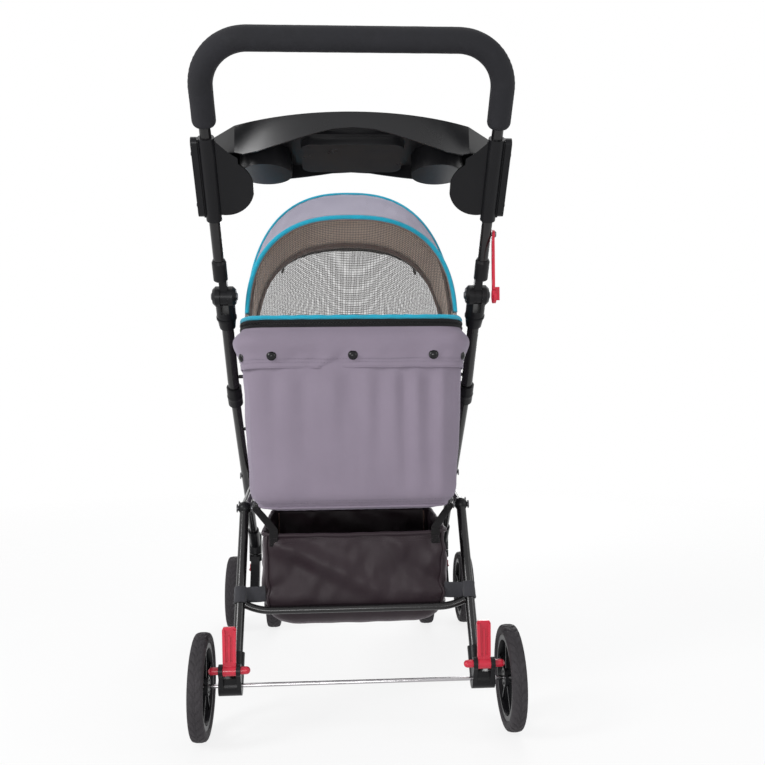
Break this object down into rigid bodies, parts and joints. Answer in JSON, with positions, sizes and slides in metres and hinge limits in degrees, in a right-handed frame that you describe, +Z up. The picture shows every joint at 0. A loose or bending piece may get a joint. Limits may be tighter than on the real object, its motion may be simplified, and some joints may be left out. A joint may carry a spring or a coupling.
{
  "type": "folding pet stroller",
  "caption": "Folding pet stroller with a zipped fabric cabin and canopy, push handle, parent tray, under-basket, foot brakes and swivelling twin front casters.",
  "frame": {"origin": "middle of the bounding box on the ground plane", "axes": "+Y the way the stroller is pushed, +X the pusher's right, +Z up"},
  "size_m": [0.5046, 0.7874, 0.9639],
  "materials": {
    "frame_enamel": "dark grey enamel, satin",
    "foam_grip": "matt foam sleeve",
    "black_plastic": "moulded black, fine texture",
    "tray_plastic": "moulded dark grey, glossy in the cups",
    "red_plastic": "bright red",
    "steel_pins": "zinc plated",
    "chrome_axle": "bright plated",
    "tyre": "dark grey solid rubber",
    "cabin_fabric": "grey-mauve woven polyester",
    "canopy_fabric": "light grey-mauve woven polyester",
    "blue_piping": "blue woven piping",
    "rim_tape": "black ribbed tape with a zip",
    "mesh": "open knitted mesh",
    "hoop_tape": "dark brown bound hoops",
    "board": "covered fibre board",
    "basket_fabric": "dark brown-black nylon",
    "webbing": "black webbing"
  },
  "bodies": {
    "chassis": {"side_tubes": "frame_enamel", "hinge_forks": "black_plastic", "frame_pins": "steel_pins", "leg_sleeves": "black_plastic", "front_legs": "frame_enamel", "front_cross_tube": "frame_enamel", "caster_sockets": "black_plastic", "seat_rails": "frame_enamel", "leg_hinge_forks": "black_plastic", "cabin_tub": "cabin_fabric", "cabin_rim": "rim_tape", "rim_piping": "blue_piping", "rear_flap": "cabin_fabric", "flap_snaps": "black_plastic", "floor_board": "board", "cushion": "cabin_fabric", "cabin_fasteners": "black_plastic", "canopy": "canopy_fabric", "arch_piping": "blue_piping", "canopy_hoops": "hoop_tape", "rear_mesh": "mesh", "basket": "basket_fabric", "basket_straps": "webbing"},
    "handle": {"handle_tube": "frame_enamel", "foam_grip": "foam_grip", "hinge_tongues": "black_plastic", "parent_tray": "tray_plastic", "tray_clamps": "black_plastic", "handle_screws": "steel_pins"},
    "fold_catch": {"fold_catch": "red_plastic"},
    "rear_legs": {"rear_legs": "frame_enamel", "rear_cross_tube": "frame_enamel", "axle_brackets": "black_plastic", "rear_axle": "chrome_axle", "axle_caps": "black_plastic", "basket_bands": "webbing"},
    "rear_wheel_left": {"rear_rim_left": "black_plastic", "rear_tyre_left": "tyre"},
    "rear_wheel_right": {"rear_rim_right": "black_plastic", "rear_tyre_right": "tyre"},
    "brake_left": {"brake_pedal_left": "red_plastic"},
    "brake_right": {"brake_pedal_right": "red_plastic"},
    "lock_collar_left": {"lock_collar_left": "black_plastic"},
    "lock_collar_right": {"lock_collar_right": "black_plastic"},
    "caster_left": {"caster_left": "black_plastic", "front_axle_left": "steel_pins"},
    "caster_right": {"caster_right": "black_plastic", "front_axle_right": "steel_pins"},
    "swivel_lock_left": {"swivel_lock_left": "red_plastic"},
    "swivel_lock_right": {"swivel_lock_right": "red_plastic"},
    "front_wheel_left_outer": {"front_rim_left_outer": "black_plastic", "front_tyre_left_outer": "tyre"},
    "front_wheel_left_inner": {"front_rim_left_inner": "black_plastic", "front_tyre_left_inner": "tyre"},
    "front_wheel_right_inner": {"front_rim_right_inner": "black_plastic", "front_tyre_right_inner": "tyre"},
    "front_wheel_right_outer": {"front_rim_right_outer": "black_plastic", "front_tyre_right_outer": "tyre"},
    "front_door": {"front_door": "mesh"}
  },
  "joints": [
    {"name": "handle_fold", "type": "hinge", "parent": "chassis", "child": "handle", "pos_m": [0, -0.12984, 0.642], "axis": [-1, 0, 0], "range_deg": [0, 130], "deforming": ["cabin_tub", "cabin_rim", "rim_piping", "rear_flap", "flap_snaps", "canopy", "arch_piping", "canopy_hoops", "rear_mesh", "front_door"]},
    {"name": "rear_leg_fold", "type": "hinge", "parent": "chassis", "child": "rear_legs", "pos_m": [0, -0.09284, 0.307], "axis": [1, 0, 0], "range_deg": [0, 81], "deforming": ["basket", "basket_straps", "basket_bands"]},
    {"name": "fold_catch_swing", "type": "hinge", "parent": "handle", "child": "fold_catch", "pos_m": [0.2093, -0.19843, 0.72671], "axis": [1, 0, 0], "range_deg": [-45, 12]},
    {"name": "rear_wheel_spin_left", "type": "hinge", "parent": "rear_legs", "child": "rear_wheel_left", "pos_m": [-0.2225, -0.24084, 0.075], "axis": [1, 0, 0], "continuous": true},
    {"name": "brake_press_left", "type": "hinge", "parent": "rear_legs", "child": "brake_left", "pos_m": [-0.1805, -0.26084, 0.103], "axis": [1, 0, 0], "range_deg": [0, 25]},
    {"name": "lock_collar_slide_left", "type": "slide", "parent": "chassis", "child": "lock_collar_left", "axis": [0, 0.6293, -0.7771], "range_m": [0, 0.01], "stiffness_N_per_m": 400},
    {"name": "caster_swivel_left", "type": "hinge", "parent": "chassis", "child": "caster_left", "pos_m": [-0.1975, 0.34916, 0.149], "axis": [0, 0, 1], "continuous": true},
    {"name": "swivel_lock_slide_left", "type": "slide", "parent": "caster_left", "child": "swivel_lock_left", "axis": [0, 0, 1], "range_m": [0, 0.006]},
    {"name": "front_wheel_spin_left_outer", "type": "hinge", "parent": "caster_left", "child": "front_wheel_left_outer", "pos_m": [-0.238, 0.32116, 0.0725], "axis": [1, 0, 0], "continuous": true},
    {"name": "front_wheel_spin_left_inner", "type": "hinge", "parent": "caster_left", "child": "front_wheel_left_inner", "pos_m": [-0.157, 0.32116, 0.0725], "axis": [1, 0, 0], "continuous": true},
    {"name": "rear_wheel_spin_right", "type": "hinge", "parent": "rear_legs", "child": "rear_wheel_right", "pos_m": [0.2225, -0.24084, 0.075], "axis": [1, 0, 0], "continuous": true},
    {"name": "brake_press_right", "type": "hinge", "parent": "rear_legs", "child": "brake_right", "pos_m": [0.1805, -0.26084, 0.103], "axis": [1, 0, 0], "range_deg": [0, 25]},
    {"name": "lock_collar_slide_right", "type": "slide", "parent": "chassis", "child": "lock_collar_right", "axis": [0, 0.6293, -0.7771], "range_m": [0, 0.01], "stiffness_N_per_m": 400},
    {"name": "caster_swivel_right", "type": "hinge", "parent": "chassis", "child": "caster_right", "pos_m": [0.1975, 0.34916, 0.149], "axis": [0, 0, 1], "continuous": true},
    {"name": "swivel_lock_slide_right", "type": "slide", "parent": "caster_right", "child": "swivel_lock_right", "axis": [0, 0, 1], "range_m": [0, 0.006]},
    {"name": "front_wheel_spin_right_outer", "type": "hinge", "parent": "caster_right", "child": "front_wheel_right_outer", "pos_m": [0.238, 0.32116, 0.0725], "axis": [1, 0, 0], "continuous": true},
    {"name": "front_wheel_spin_right_inner", "type": "hinge", "parent": "caster_right", "child": "front_wheel_right_inner", "pos_m": [0.157, 0.32116, 0.0725], "axis": [1, 0, 0], "continuous": true},
    {"name": "front_door_open", "type": "hinge", "parent": "chassis", "child": "front_door", "pos_m": [0, 0.33566, 0.556], "axis": [-1, 0, 0], "range_deg": [0, 110]}
  ],
  "couplings": [
    {"joint": "rear_leg_fold", "follows": "handle_fold", "ratio": 0.62308}
  ]
}
